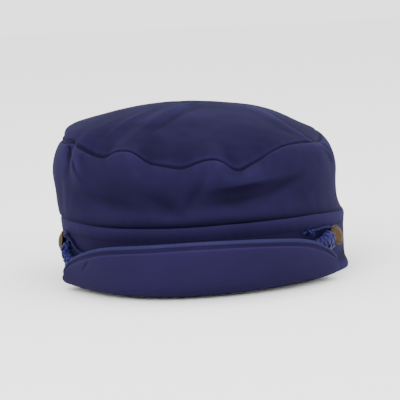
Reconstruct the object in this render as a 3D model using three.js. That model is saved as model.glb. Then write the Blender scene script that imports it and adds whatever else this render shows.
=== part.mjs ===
import * as THREE from 'three';

// Sizes in millimetres and degrees. Front is -Y, up is +Z.
const bandHalfWidth = 84;
const bandHalfDepth = 101.4;
const bandHeight = 37.6;
const bandWall = 2.4;
const rollBulge = 0.9;
const capHeight = 100.6;
const clothWall = 1.6;
const seamDip = 1.0;
const foldDepth = 4.6;
const creaseDepth = 2.4;
const peakReach = 28;
const peakRise = 32;
const peakWall = 3;
const peakHalfSpan = 58.5;
const peakTurn = 1.5;
const pipingWidth = 2.4;
const cordWidth = 6.8;
const tieWidth = 2.2;
const knotWidth = 4.6;
const buttonWidth = 12;
const buttonDome = 2.6;
const buttonSpread = 66;
const buttonLift = 1.9;
const clearance = 0.35;
const edgeBevel = 0.3;
const seamGap = 1.4 * clearance;
const pipingGap = 1.35 * clearance;

// How far the crown reaches at each level, as a share of the band's outline.
// Angles run round from the front, positive towards the wearer's left.
const crownRows = [
  { at: -165, foot: 0.986, low: 1.0, middle: 1.0, waist: 0.995, high: 0.985, brow: 0.965, seam: 0.94 },
  { at: -125, foot: 0.99, low: 1.01, middle: 1.02, waist: 1.03, high: 1.02, brow: 0.995, seam: 0.965 },
  { at: -90, foot: 1.002, low: 1.02, middle: 1.035, waist: 1.05, high: 1.035, brow: 0.997, seam: 0.968 },
  { at: -60, foot: 0.998, low: 1.01, middle: 1.015, waist: 1.02, high: 1.01, brow: 0.985, seam: 0.962 },
  { at: -30, foot: 0.99, low: 1.0, middle: 0.995, waist: 0.995, high: 0.99, brow: 0.97, seam: 0.945 },
  { at: 0, foot: 0.988, low: 0.998, middle: 0.985, waist: 0.98, high: 0.98, brow: 0.965, seam: 0.94 },
  { at: 30, foot: 0.986, low: 0.99, middle: 0.975, waist: 0.97, high: 0.965, brow: 0.95, seam: 0.928 },
  { at: 60, foot: 0.98, low: 0.975, middle: 0.96, waist: 0.953, high: 0.936, brow: 0.912, seam: 0.885 },
  { at: 90, foot: 0.972, low: 0.955, middle: 0.945, waist: 0.944, high: 0.922, brow: 0.893, seam: 0.862 },
  { at: 130, foot: 0.98, low: 0.98, middle: 0.975, waist: 0.965, high: 0.95, brow: 0.93, seam: 0.905 },
  { at: 160, foot: 0.984, low: 0.995, middle: 0.99, waist: 0.98, high: 0.97, brow: 0.95, seam: 0.925 },
];
const wallLevels = { foot: 0, low: 0.12, middle: 0.36, waist: 0.57, high: 0.77, brow: 0.93, seam: 1 };

// Height of the wavy top seam, as a share of the cap's height.
const waveRows = [
  { at: -150, up: 0.785 },
  { at: -120, up: 0.815 },
  { at: -90, up: 0.812 },
  { at: -76, up: 0.806 },
  { at: -64, up: 0.819 },
  { at: -58, up: 0.812 },
  { at: -51, up: 0.785 },
  { at: -44, up: 0.758 },
  { at: -39, up: 0.748 },
  { at: -36, up: 0.757 },
  { at: -33, up: 0.782 },
  { at: -28, up: 0.792 },
  { at: -24, up: 0.786 },
  { at: -20, up: 0.752 },
  { at: -17, up: 0.721 },
  { at: -13, up: 0.709 },
  { at: -9, up: 0.7 },
  { at: -3, up: 0.686 },
  { at: 1, up: 0.7 },
  { at: 5, up: 0.722 },
  { at: 10, up: 0.731 },
  { at: 14, up: 0.715 },
  { at: 17, up: 0.664 },
  { at: 19.5, up: 0.657 },
  { at: 22, up: 0.659 },
  { at: 25, up: 0.682 },
  { at: 30, up: 0.705 },
  { at: 36, up: 0.742 },
  { at: 43, up: 0.767 },
  { at: 50, up: 0.772 },
  { at: 60, up: 0.766 },
  { at: 70, up: 0.753 },
  { at: 80, up: 0.745 },
  { at: 92, up: 0.755 },
  { at: 115, up: 0.785 },
  { at: 140, up: 0.758 },
  { at: 165, up: 0.79 },
  { at: 190, up: 0.765 },
];

// Height that the top panel's dome rises from, without the seam's waves.
const rimRows = [
  { at: -165, up: 0.79 },
  { at: -125, up: 0.81 },
  { at: -90, up: 0.812 },
  { at: -60, up: 0.80 },
  { at: -30, up: 0.76 },
  { at: 0, up: 0.72 },
  { at: 30, up: 0.73 },
  { at: 60, up: 0.765 },
  { at: 90, up: 0.765 },
  { at: 130, up: 0.77 },
  { at: 160, up: 0.78 },
];

// Rise of the top panel from its seam towards the crown's highest point.
const topRows = [
  { at: -165, puff: 0.14, shoulder: 0.36, slope: 0.62, dome: 0.87, crest: 0.97 },
  { at: -125, puff: 0.24, shoulder: 0.45, slope: 0.66, dome: 0.88, crest: 0.98 },
  { at: -90, puff: 0.36, shoulder: 0.54, slope: 0.70, dome: 0.90, crest: 0.995 },
  { at: -62, puff: 0.26, shoulder: 0.46, slope: 0.66, dome: 0.88, crest: 0.98 },
  { at: -30, puff: 0.13, shoulder: 0.33, slope: 0.58, dome: 0.86, crest: 0.97 },
  { at: 0, puff: 0.11, shoulder: 0.31, slope: 0.56, dome: 0.85, crest: 0.97 },
  { at: 30, puff: 0.11, shoulder: 0.31, slope: 0.56, dome: 0.85, crest: 0.97 },
  { at: 62, puff: 0.10, shoulder: 0.27, slope: 0.55, dome: 0.86, crest: 0.97 },
  { at: 90, puff: 0.09, shoulder: 0.26, slope: 0.58, dome: 0.88, crest: 0.975 },
  { at: 130, puff: 0.13, shoulder: 0.35, slope: 0.62, dome: 0.88, crest: 0.975 },
  { at: 160, puff: 0.13, shoulder: 0.35, slope: 0.62, dome: 0.87, crest: 0.97 },
];
const topLevels = {
  rim: 0, puff: 0.05, shoulder: 0.16, slope: 0.33, dome: 0.6, crest: 0.84, apex: 1, beyond: 1.16,
};
const apexShift = { x: -0.14, y: 0.05 };

// Hollows and ridges in the side wall: lengths are shares of the cap's height,
// out is a share of the deepest fold, negative where it goes in.
const sideFolds = [
  { at: 21, up: 0.545, along: 0.15, across: 0.042, lean: 5, out: -1 },
  { at: 23, up: 0.632, along: 0.14, across: 0.034, lean: 4, out: 0.39 },
  { at: 40, up: 0.575, along: 0.09, across: 0.036, lean: 12, out: -0.35 },
  { at: -10, up: 0.5, along: 0.09, across: 0.04, lean: -22, out: -0.48 },
  { at: -33, up: 0.54, along: 0.17, across: 0.065, lean: -8, out: -0.43 },
  { at: 2, up: 0.56, along: 0.075, across: 0.026, lean: 52, out: -0.28 },
  { at: 7, up: 0.62, along: 0.08, across: 0.035, lean: 40, out: 0.24 },
  { at: -60, up: 0.745, along: 0.075, across: 0.025, lean: -74, out: -0.78 },
  { at: -52, up: 0.70, along: 0.09, across: 0.03, lean: -72, out: 0.35 },
  { at: -70, up: 0.50, along: 0.09, across: 0.035, lean: 80, out: -0.28 },
  { at: 0, up: 0.43, along: 0.6, across: 0.036, lean: 0, out: 0.24 },
  { at: 68, up: 0.69, along: 0.08, across: 0.034, lean: -60, out: 0.26 },
  { at: 150, up: 0.57, along: 0.22, across: 0.06, lean: 6, out: -0.65 },
  { at: -140, up: 0.55, along: 0.2, across: 0.06, lean: -8, out: -0.57 },
  { at: 112, up: 0.55, along: 0.12, across: 0.05, lean: 30, out: -0.35 },
];

// Creases of the top panel in plan: lengths are shares of the band's half width,
// up is a share of the deepest crease.
const topFolds = [
  { x: -0.17, y: -0.30, along: 0.262, across: 0.04, turn: 62, up: 0.5 },
  { x: -0.10, y: -0.36, along: 0.238, across: 0.054, turn: 62, up: -0.29 },
  { x: -0.45, y: -0.42, along: 0.167, across: 0.04, turn: 55, up: 0.33 },
  { x: 0.62, y: -0.26, along: 0.262, across: 0.045, turn: -46, up: 0.62 },
  { x: 0.76, y: -0.20, along: 0.179, across: 0.043, turn: -46, up: -1 },
  { x: 0.30, y: 0.45, along: 0.286, across: 0.071, turn: 20, up: -0.5 },
  { x: -0.35, y: 0.40, along: 0.262, across: 0.071, turn: -35, up: -0.42 },
];

// How soon folds and seam waves grow or fade, as shares of a panel's length.
const fade = { fold: 0.08, dip: 0.035, wave: 0.13, crease: 0.06 };

// Where the points of each line of cloth lie along the side wall and the top panel.
const wallShares = [0, 0.05, 0.13, 0.23, 0.34, 0.45, 0.56, 0.67, 0.78, 0.88, 0.955, 1];
const topShares = [0, 0.025, 0.07, 0.13, 0.22, 0.34, 0.5, 0.72, 1];

// How tall the band stands round the head, as a share of its height.
const bandRows = [
  { at: -150, tall: 1.0 },
  { at: -90, tall: 1.03 },
  { at: -55, tall: 1.025 },
  { at: -38, tall: 0.995 },
  { at: -8, tall: 1.0 },
  { at: 21, tall: 1.02 },
  { at: 50, tall: 1.005 },
  { at: 66, tall: 0.96 },
  { at: 90, tall: 0.885 },
  { at: 140, tall: 0.98 },
];

// The band from its floor edge up, outer face: height and swell as shares.
const bandProfile = [
  { up: 0, out: -0.2 },
  { up: 0.02, out: 0 },
  { up: 0.5, out: 0.1 },
  { up: 0.79, out: 0 },
  { up: 0.86, out: 0.75 },
  { up: 0.92, out: 1 },
  { up: 0.97, out: 0.6 },
  { up: 1, out: -0.5 },
];

// The turned-up peak across its span: rise and reach of its free edge,
// fold is how far it lies out before it turns up, lift how far its foot is off the floor.
const peakRows = [
  { at: -1, rise: 0.14, reach: 0.13, fold: 0.13, lift: 0.085 },
  { at: -0.96, rise: 0.235, reach: 0.34, fold: 0.34, lift: 0.08 },
  { at: -0.91, rise: 0.36, reach: 0.37, fold: 0.39, lift: 0.075 },
  { at: -0.85, rise: 0.48, reach: 0.39, fold: 0.42, lift: 0.065 },
  { at: -0.77, rise: 0.575, reach: 0.45, fold: 0.45, lift: 0.05 },
  { at: -0.66, rise: 0.68, reach: 0.58, fold: 0.51, lift: 0.03 },
  { at: -0.47, rise: 0.83, reach: 0.78, fold: 0.68, lift: 0.01 },
  { at: -0.21, rise: 0.905, reach: 0.96, fold: 0.88, lift: 0 },
  { at: 0.05, rise: 0.945, reach: 1, fold: 0.78, lift: 0 },
  { at: 0.31, rise: 0.92, reach: 0.95, fold: 0.6, lift: 0.015 },
  { at: 0.55, rise: 0.825, reach: 0.78, fold: 0.52, lift: 0.035 },
  { at: 0.71, rise: 0.68, reach: 0.58, fold: 0.48, lift: 0.05 },
  { at: 0.82, rise: 0.54, reach: 0.46, fold: 0.45, lift: 0.055 },
  { at: 0.9, rise: 0.415, reach: 0.39, fold: 0.41, lift: 0.06 },
  { at: 0.96, rise: 0.29, reach: 0.33, fold: 0.34, lift: 0.065 },
  { at: 1, rise: 0.14, reach: 0.13, fold: 0.13, lift: 0.065 },
];

const peakBend = { out: 0.9, up: 0.05 };
const peakSections = 40;
const peakSteps = 8;
const endCrowding = 1.35;

// The button's half outline: wide is a share of its half width, up of its dome.
const buttonRows = [
  { wide: 0.92, up: 0 },
  { wide: 1, up: 0.15 },
  { wide: 0.97, up: 0.35 },
  { wide: 0.82, up: 0.6 },
  { wide: 0.5, up: 0.88 },
  { wide: 0, up: 1 },
];
const buttonSides = 20;
const shankWidth = 0.35 * buttonWidth;

// Height of each button's middle, as a share of the band's height.
const buttonLevel = { left: 0.67, right: 0.605 };

// The cord's way from each button down behind the peak, along its fall in degrees.
const cordDropLeft = [
  { from: 0.28, up: 0.5 },
  { from: 0.34, up: 0.45 },
  { from: 0.56, up: 0.375 },
  { from: 0.8, up: 0.305 },
  { from: 1, up: 0.27 },
];
const cordDropRight = [
  { from: 0.31, up: 0.57 },
  { from: 0.55, up: 0.565 },
  { from: 0.8, up: 0.55 },
  { from: 1, up: 0.53 },
  { from: 1.3, up: 0.47 },
  { from: 1.7, up: 0.37 },
  { from: 2.1, up: 0.3 },
];
const cordLow = 0.26;
const cordFall = 16;
const cordLead = 1.5;
const cordStep = 0.2;
const cordSteps = 78;
const rodSides = 8;

// Cord ends narrow enough to lie under a button, and how far they lie off the band.
const tailWidth = buttonLift - 2 * clearance;
const tailOff = 1.6 * clearance + tailWidth / 2;

// Directions in which cord and strand leave a button, in degrees up from straight forward.
const leaveAt = {
  cordLeft: -8, bendLeft: -14, cordRight: -6, bendRight: -9, strand: 66, strandLeft: 44, strandRight: 50,
};
const bendWidth = 0.92 * cordWidth;

// The thin strands, in degrees forward of the button: height, and share of the end knot.
const tieRowsLeft = [
  { along: 4.5, up: 0.75, thick: 0.48 },
  { along: 7.5, up: 0.71, thick: 0.48 },
  { along: 10, up: 0.64, thick: 0.48 },
  { along: 13, up: 0.585, thick: 0.48 },
  { along: 16.5, up: 0.555, thick: 0.48 },
  { along: 19.5, up: 0.53, thick: 0.48 },
];
const tieRowsRight = [
  { along: 5, up: 0.755, thick: 0.48 },
  { along: 9, up: 0.76, thick: 0.48 },
  { along: 13, up: 0.755, thick: 0.48 },
  { along: 15, up: 0.75, thick: 0.48 },
  { along: 16, up: 0.75, thick: 0.88 },
  { along: 17.2, up: 0.75, thick: 1 },
  { along: 18.4, up: 0.75, thick: 0.8 },
  { along: 19.2, up: 0.75, thick: 0.48 },
];

const nothing = 1e-6;
const rad = (deg) => (deg * Math.PI) / 180;
const bell = (a, b) => Math.exp(-0.5 * (a * a + b * b));
const mix = (a, b, t) => a + (b - a) * t;

// Smooth value of one column between the rows of a table, closed when turn is given.
function valueAt(rows, name, at, turn = 0) {
  const count = rows.length;
  const x = turn ? rows[0].at + ((((at - rows[0].at) % turn) + turn) % turn) : at;
  let i = count - 1;
  while (i > 0 && rows[i].at > x) i -= 1;
  const pick = (k) => {
    if (!turn) return rows[Math.min(Math.max(k, 0), count - 1)];
    const row = rows[((k % count) + count) % count];
    return { at: row.at + turn * Math.floor(k / count), [name]: row[name] };
  };
  if (!turn) i = Math.min(i, count - 2);
  const [p0, p1, p2, p3] = [pick(i - 1), pick(i), pick(i + 1), pick(i + 2)];
  const span = p2.at - p1.at;
  const t = Math.min(Math.max((x - p1.at) / span, 0), 1);
  const lean = (a, b) => (b.at > a.at ? ((b[name] - a[name]) / (b.at - a.at)) * span : 0);
  const m1 = lean(p0, p2);
  const m2 = lean(p1, p3);
  const t2 = t * t;
  const t3 = t2 * t;
  return (2 * t3 - 3 * t2 + 1) * p1[name] + (t3 - 2 * t2 + t) * m1
    + (3 * t2 - 2 * t3) * p2[name] + (t3 - t2) * m2;
}

// Point and outward direction of the band's outline at an angle.
function outline(deg) {
  const sin = Math.sin(rad(deg));
  const cos = Math.cos(rad(deg));
  const out = new THREE.Vector3(sin / bandHalfWidth, -cos / bandHalfDepth, 0).normalize();
  return { at: new THREE.Vector3(bandHalfWidth * sin, -bandHalfDepth * cos, 0), out };
}

function offBand(deg, off, up) {
  const { at, out } = outline(deg);
  return at.clone().addScaledVector(out, off).setZ(up);
}

// Loops of points joined into one closed body, round in a ring or capped at both ends.
function loftBody(loops, ring) {
  const corners = [];
  const size = loops[0].length;
  const steps = ring ? loops.length : loops.length - 1;
  for (let i = 0; i < steps; i += 1) {
    const here = loops[i];
    const next = loops[(i + 1) % loops.length];
    for (let j = 0; j < size; j += 1) {
      const k = (j + 1) % size;
      corners.push(here[j], next[j], next[k], here[j], next[k], here[k]);
    }
  }
  if (!ring) {
    capLoop(corners, loops[0], false);
    capLoop(corners, loops[loops.length - 1], true);
  }
  return bodyFrom(corners);
}

function capLoop(corners, loop, last) {
  const middle = loop.reduce((sum, p) => sum.add(p), new THREE.Vector3()).divideScalar(loop.length);
  loop.forEach((p, j) => {
    const q = loop[(j + 1) % loop.length];
    corners.push(middle, last ? q : p, last ? p : q);
  });
}

// Welded geometry from corner triples, without empty triangles, facing out.
function bodyFrom(corners) {
  const found = new Map();
  const places = [];
  const index = [];
  const idOf = (p) => {
    const key = `${p.x.toFixed(4)},${p.y.toFixed(4)},${p.z.toFixed(4)}`;
    if (!found.has(key)) {
      found.set(key, places.length / 3);
      places.push(p.x, p.y, p.z);
    }
    return found.get(key);
  };
  let volume = 0;
  for (let i = 0; i < corners.length; i += 3) {
    const [a, b, c] = [corners[i], corners[i + 1], corners[i + 2]];
    const ids = [idOf(a), idOf(b), idOf(c)];
    if (ids[0] === ids[1] || ids[1] === ids[2] || ids[0] === ids[2]) continue;
    index.push(...ids);
    volume += a.dot(new THREE.Vector3().crossVectors(b, c));
  }
  if (volume < 0) index.reverse();
  const geometry = new THREE.BufferGeometry();
  geometry.setAttribute('position', new THREE.Float32BufferAttribute(places, 3));
  geometry.setIndex(index);
  geometry.computeVertexNormals();
  return geometry;
}

// Angles round the cap, finer over the front.
const angleSpans = [
  { from: -63, to: 63, step: 3 },
  { from: 63, to: 99, step: 6 },
  { from: 99, to: 261, step: 9 },
  { from: 261, to: 297, step: 6 },
];

function anglesRound() {
  return angleSpans.flatMap(({ from, to, step }) => {
    const count = Math.round((to - from) / step);
    return Array.from({ length: count }, (_, i) => from + i * step);
  });
}

function foldOut(deg, up) {
  const reach = (bandHalfWidth + bandHalfDepth) / 2;
  return sideFolds.reduce((sum, fold) => {
    const turn = ((((deg - fold.at + 180) % 360) + 360) % 360) - 180;
    const side = rad(turn) * reach;
    const rise = up - fold.up * capHeight;
    const [c, s] = [Math.cos(rad(fold.lean)), Math.sin(rad(fold.lean))];
    const along = (side * c + rise * s) / (fold.along * capHeight);
    const across = (rise * c - side * s) / (fold.across * capHeight);
    return sum + fold.out * foldDepth * bell(along, across);
  }, 0);
}

function creaseUp(x, y) {
  return topFolds.reduce((sum, fold) => {
    const [dx, dy] = [x - fold.x * bandHalfWidth, y - fold.y * bandHalfDepth];
    const [c, s] = [Math.cos(rad(fold.turn)), Math.sin(rad(fold.turn))];
    const along = (dx * c + dy * s) / (fold.along * bandHalfWidth);
    const across = (dy * c - dx * s) / (fold.across * bandHalfWidth);
    return sum + fold.up * creaseDepth * bell(along, across);
  }, 0);
}

function levelRows(levels, rows, deg, first, last) {
  return Object.entries(levels).map(([name, at]) => {
    if (name === 'rim') return { at, value: first };
    if (name === 'apex') return { at, value: last };
    if (name === 'beyond') return { at, value: valueAt(rows, 'crest', deg, 360) };
    return { at, value: valueAt(rows, name, deg, 360) };
  });
}

const bandTop = (deg) => valueAt(bandRows, 'tall', deg, 360) * bandHeight;
const seamHeight = (deg) => valueAt(waveRows, 'up', deg, 360) * capHeight;

// Middle of the side wall's cloth, share 0 at the band and 1 at the top seam.
function wallPoint(deg, share) {
  const reach = valueAt(levelRows(wallLevels, crownRows, deg), 'value', share);
  const up = mix(bandTop(deg) + clearance, seamHeight(deg), share);
  const held = Math.min(1, share / fade.fold);
  const dip = seamDip * Math.exp(-(1 - share) / fade.dip);
  const { at, out } = outline(deg);
  return at.multiplyScalar(reach).addScaledVector(out, foldOut(deg, up) * held - dip).setZ(up);
}

// Middle of the top panel's cloth, share 0 at its seam and 1 at the highest point.
function topPoint(deg, share) {
  const rim = wallPoint(deg, 1);
  const smooth = valueAt(rimRows, 'up', deg, 360) * capHeight;
  const rise = valueAt(levelRows(topLevels, topRows, deg, 0, 1), 'value', share);
  const apex = new THREE.Vector3(apexShift.x * bandHalfWidth, apexShift.y * bandHalfDepth, 0);
  const flat = rim.clone().lerp(apex, share);
  const wave = (rim.z - smooth) * Math.exp(-share / fade.wave) * (1 - share);
  const crease = creaseUp(flat.x, flat.y) * Math.min(1, share / fade.crease);
  return flat.setZ(mix(smooth, capHeight, rise) + wave + crease);
}

// Lines of the crown's middle surface at each angle, with the seam opened by the clearance.
function crownLines(angles) {
  return angles.map((deg) => {
    const wall = wallShares.map((share) => wallPoint(deg, share));
    const top = topShares.map((share) => topPoint(deg, share));
    const along = top[1].clone().sub(wall[wall.length - 2]).normalize();
    wall[wall.length - 1].addScaledVector(along, -seamGap / 2);
    top[0].addScaledVector(along, seamGap / 2);
    return { wall, top, along };
  });
}

// Direction across the cloth at every point of a ring of lines.
function clothNormals(lines, edges) {
  const count = lines.length;
  return lines.map((line, i) => line.map((_, j) => {
    const round = lines[(i + 1) % count][j].clone().sub(lines[(i + count - 1) % count][j]);
    const along = edges[i][j] || line[Math.min(j + 1, line.length - 1)].clone()
      .sub(line[Math.max(j - 1, 0)]);
    if (round.lengthSq() < nothing) return new THREE.Vector3(0, 0, 1);
    return round.cross(along).normalize();
  }));
}

// Cloth of the given thickness on both sides of a ring of lines.
function clothRing(lines, normals, thick) {
  const loops = lines.map((line, i) => {
    const outer = line.map((p, j) => p.clone().addScaledVector(normals[i][j], thick / 2));
    const inner = line.map((p, j) => p.clone().addScaledVector(normals[i][j], -thick / 2));
    return [...outer, ...inner.reverse()];
  });
  return loftBody(loops, true);
}

function makeCrown(angles) {
  const lines = crownLines(angles);
  const upright = new THREE.Vector3(0, 0, 1);
  const wallEdges = lines.map(({ wall, along }) => wall.map((p, j) => {
    if (j === 0) return upright;
    return j === wall.length - 1 ? along : null;
  }));
  const topEdges = lines.map(({ top, along }) => top.map((p, j) => (j === 0 ? along : null)));
  const walls = lines.map(({ wall }) => wall);
  const tops = lines.map(({ top }) => top);
  return {
    side: clothRing(walls, clothNormals(walls, wallEdges), clothWall),
    top: clothRing(tops, clothNormals(tops, topEdges), clothWall),
  };
}

function makeBand(angles) {
  const loops = angles.map((deg) => {
    const top = bandTop(deg);
    const outer = bandProfile.map(({ up, out }) => offBand(deg, out * rollBulge, up * top));
    const inner = [
      offBand(deg, -bandWall, top - edgeBevel),
      offBand(deg, -bandWall, edgeBevel),
      offBand(deg, edgeBevel - bandWall, 0),
    ];
    return [...outer, ...inner];
  });
  return loftBody(loops, true);
}

// One cross-section of the peak's middle, from its root at the band to its free edge.
function peakSection(share) {
  const deg = peakTurn + share * peakHalfSpan;
  const rootUp = peakWall / 2 + clearance + valueAt(peakRows, 'lift', share) * peakRise;
  const rise = Math.max(valueAt(peakRows, 'rise', share) * peakRise, rootUp + clearance);
  const reach = valueAt(peakRows, 'reach', share) * peakReach;
  const fold = valueAt(peakRows, 'fold', share) * peakReach;
  const path = new THREE.CubicBezierCurve(
    new THREE.Vector2(clearance, rootUp),
    new THREE.Vector2(mix(clearance, fold, peakBend.out), rootUp),
    new THREE.Vector2(fold, mix(rootUp, rise, peakBend.up)),
    new THREE.Vector2(reach, rise),
  );
  return path.getPoints(peakSteps).map((p) => offBand(deg, p.x, p.y));
}

// Places of the cross-sections from end to end, closer together near both ends.
function peakShares() {
  return Array.from({ length: peakSections + 1 }, (_, i) => {
    const t = (2 * i) / peakSections - 1;
    return Math.sign(t) * (1 - (1 - Math.abs(t)) ** endCrowding);
  });
}

// Direction across the peak's sheet at every point, straight down at its root.
function sheetNormals(lines) {
  return lines.map((line, i) => line.map((_, j) => {
    const before = lines[Math.max(i - 1, 0)][j];
    const after = lines[Math.min(i + 1, lines.length - 1)][j];
    if (j === 0) return new THREE.Vector3(0, 0, -1);
    const along = line[Math.min(j + 1, line.length - 1)].clone().sub(line[j - 1]);
    return after.clone().sub(before).cross(along).normalize();
  }));
}

function makePeak(lines) {
  const normals = sheetNormals(lines);
  const loops = lines.map((line, i) => {
    const face = (off) => line.map((p, j) => p.clone().addScaledVector(normals[i][j], off));
    return [...face(peakWall / 2), ...face(-peakWall / 2).reverse()];
  });
  return loftBody(loops, false);
}

// Round rod along a path, with a width at each point, its sides carried on without twist.
function makeRod(path, widths, sides) {
  const last = path.length - 1;
  let side = null;
  const loops = path.map((point, i) => {
    const along = path[Math.min(i + 1, last)].clone().sub(path[Math.max(i - 1, 0)]).normalize();
    if (!side) side = new THREE.Vector3(0, 0, 1).cross(along);
    side = side.clone().addScaledVector(along, -side.dot(along)).normalize();
    const up = along.clone().cross(side);
    return Array.from({ length: sides }, (_, k) => {
      const turn = (2 * Math.PI * k) / sides;
      return point.clone()
        .addScaledVector(side, (Math.cos(turn) * widths[i]) / 2)
        .addScaledVector(up, (Math.sin(turn) * widths[i]) / 2);
    });
  });
  return loftBody(loops, false);
}

// Bound rim just outside the peak's free edge.
function makePiping(lines) {
  const path = lines.map((line, i) => {
    const edge = line[line.length - 1];
    const before = lines[Math.max(i - 1, 0)];
    const after = lines[Math.min(i + 1, lines.length - 1)];
    const run = after[after.length - 1].clone().sub(before[before.length - 1]).normalize();
    const out = edge.clone().sub(line[line.length - 2]);
    out.addScaledVector(run, -out.dot(run)).normalize();
    return edge.clone().addScaledVector(out, pipingWidth / 2 + pipingGap);
  }).slice(1, -1);
  return makeRod(path, path.map(() => pipingWidth), rodSides);
}

const buttonUp = (side) => (side < 0 ? buttonLevel.left : buttonLevel.right) * bandHeight;

// Point near a button, a distance from its middle in a direction, out from the band.
function byButton(side, away, turn, off) {
  const { at, out } = outline(side * buttonSpread);
  const front = new THREE.Vector3(0, 0, 1).cross(out).multiplyScalar(-side);
  return at.addScaledVector(out, off)
    .addScaledVector(front, away * Math.cos(rad(turn)))
    .setZ(buttonUp(side) + away * Math.sin(rad(turn)));
}

function makeButton(side) {
  const base = clearance + buttonLift;
  const profile = [
    { wide: 0, off: clearance },
    { wide: shankWidth / 2, off: clearance },
    { wide: shankWidth / 2, off: base },
    ...buttonRows.map(({ wide, up }) => (
      { wide: (wide * buttonWidth) / 2, off: base + up * buttonDome })),
  ];
  const { at, out } = outline(side * buttonSpread);
  const front = new THREE.Vector3(0, 0, 1).cross(out);
  const loops = Array.from({ length: buttonSides }, (_, k) => profile.map(({ wide, off }) => {
    const turn = (2 * Math.PI * k) / buttonSides;
    return at.clone().addScaledVector(out, off)
      .addScaledVector(front, wide * Math.cos(turn))
      .setZ(buttonUp(side) + wide * Math.sin(turn));
  }));
  return loftBody(loops, true);
}

// One side of the cord, from under its button to the front middle.
function cordHalf(side) {
  const rim = buttonWidth / 2;
  const tail = { wide: tailWidth, off: tailOff };
  const bend = { wide: bendWidth, off: (bendWidth + clearance) / 2 };
  const [leave, bendTurn] = side < 0
    ? [leaveAt.cordLeft, leaveAt.bendLeft] : [leaveAt.cordRight, leaveAt.bendRight];
  const path = [
    { ...tail, away: shankWidth / 2 + clearance + tailWidth, turn: leave },
    { ...tail, away: rim + 2 * clearance, turn: leave },
    { ...bend, away: rim + 0.6 * bendWidth, turn: bendTurn },
  ].map(({ away, turn, off, wide }) => ({ at: byButton(side, away, turn, off), wide }));
  const start = buttonSpread - cordLead;
  const drop = side < 0 ? cordDropLeft : cordDropRight;
  drop.forEach(({ from, up }) => {
    const deg = side * (start - from * cordFall);
    path.push({ at: offBand(deg, cordWidth / 2 + clearance, up * bandHeight), wide: cordWidth });
  });
  const fallen = start - drop[drop.length - 1].from * cordFall;
  for (let share = 1 - 0.8 * cordStep; share > 0; share -= cordStep) {
    const deg = side * fallen * share;
    path.push({ at: offBand(deg, cordWidth / 2 + clearance, cordLow * bandHeight), wide: cordWidth });
  }
  return path;
}

function makeCord() {
  const left = cordHalf(-1);
  const right = cordHalf(1).reverse();
  const knots = [...left, ...right];
  const curve = new THREE.CatmullRomCurve3(knots.map(({ at }) => at), false, 'centripetal');
  const path = curve.getPoints(cordSteps);
  const widths = path.map((p, i) => {
    const place = (i / cordSteps) * (knots.length - 1);
    const k = Math.min(Math.floor(place), knots.length - 2);
    return mix(knots[k].wide, knots[k + 1].wide, place - k);
  });
  return makeRod(path, widths, rodSides);
}

// Thin strand from under a button along the band, the right one ending in a knot.
function makeTie(side) {
  const turn = side < 0 ? leaveAt.strandLeft : leaveAt.strandRight;
  const reach = shankWidth / 2 + clearance + tailWidth;
  const knots = [
    { at: byButton(side, reach, leaveAt.strand, tailOff), wide: tailWidth },
    { at: byButton(side, buttonWidth / 2 + clearance, turn, tailOff), wide: tailWidth },
  ];
  const rows = side < 0 ? tieRowsLeft : tieRowsRight;
  rows.forEach(({ along, up, thick }) => {
    const wide = Math.max(tieWidth, thick * knotWidth);
    const deg = side * (buttonSpread - along);
    knots.push({ at: offBand(deg, wide / 2 + clearance, up * bandHeight), wide });
  });
  return makeRod(knots.map(({ at }) => at), knots.map(({ wide }) => wide), rodSides);
}

function addPiece(group, name, geometry, colour, roughness, metalness = 0) {
  const material = new THREE.MeshStandardMaterial({ color: colour, roughness, metalness });
  const mesh = new THREE.Mesh(geometry, material);
  mesh.name = name;
  group.add(mesh);
}

function makeCap() {
  const cap = new THREE.Group();
  const angles = anglesRound();
  const crown = makeCrown(angles);
  const peak = peakShares().map(peakSection);
  addPiece(cap, 'crown_side', crown.side, 0x2b2c54, 0.88);
  addPiece(cap, 'crown_top', crown.top, 0x2f3058, 0.88);
  addPiece(cap, 'band', makeBand(angles), 0x24264c, 0.88);
  addPiece(cap, 'peak', makePeak(peak), 0x30305f, 0.8);
  addPiece(cap, 'peak_piping', makePiping(peak), 0x3a3b68, 0.8);
  addPiece(cap, 'chin_cord', makeCord(), 0x2b2f8a, 0.5);
  addPiece(cap, 'cord_tie_left', makeTie(-1), 0x23266f, 0.6);
  addPiece(cap, 'cord_tie_right', makeTie(1), 0x23266f, 0.6);
  addPiece(cap, 'button_left', makeButton(-1), 0x7d6a3a, 0.42, 0.9);
  addPiece(cap, 'button_right', makeButton(1), 0x7d6a3a, 0.42, 0.9);
  centreOnFloor(cap);
  return cap;
}

// Puts the origin under the middle of the whole cap, on the surface it rests on.
function centreOnFloor(cap) {
  const box = new THREE.Box3().setFromObject(cap);
  const middle = box.getCenter(new THREE.Vector3());
  cap.children.forEach((mesh) => mesh.geometry.translate(-middle.x, -middle.y, -box.min.z));
}

export default makeCap();
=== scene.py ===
import math
import random
import bpy
import bmesh
import numpy as np
from mathutils import Matrix, Vector, noise
from mathutils.bvhtree import BVHTree


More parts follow.
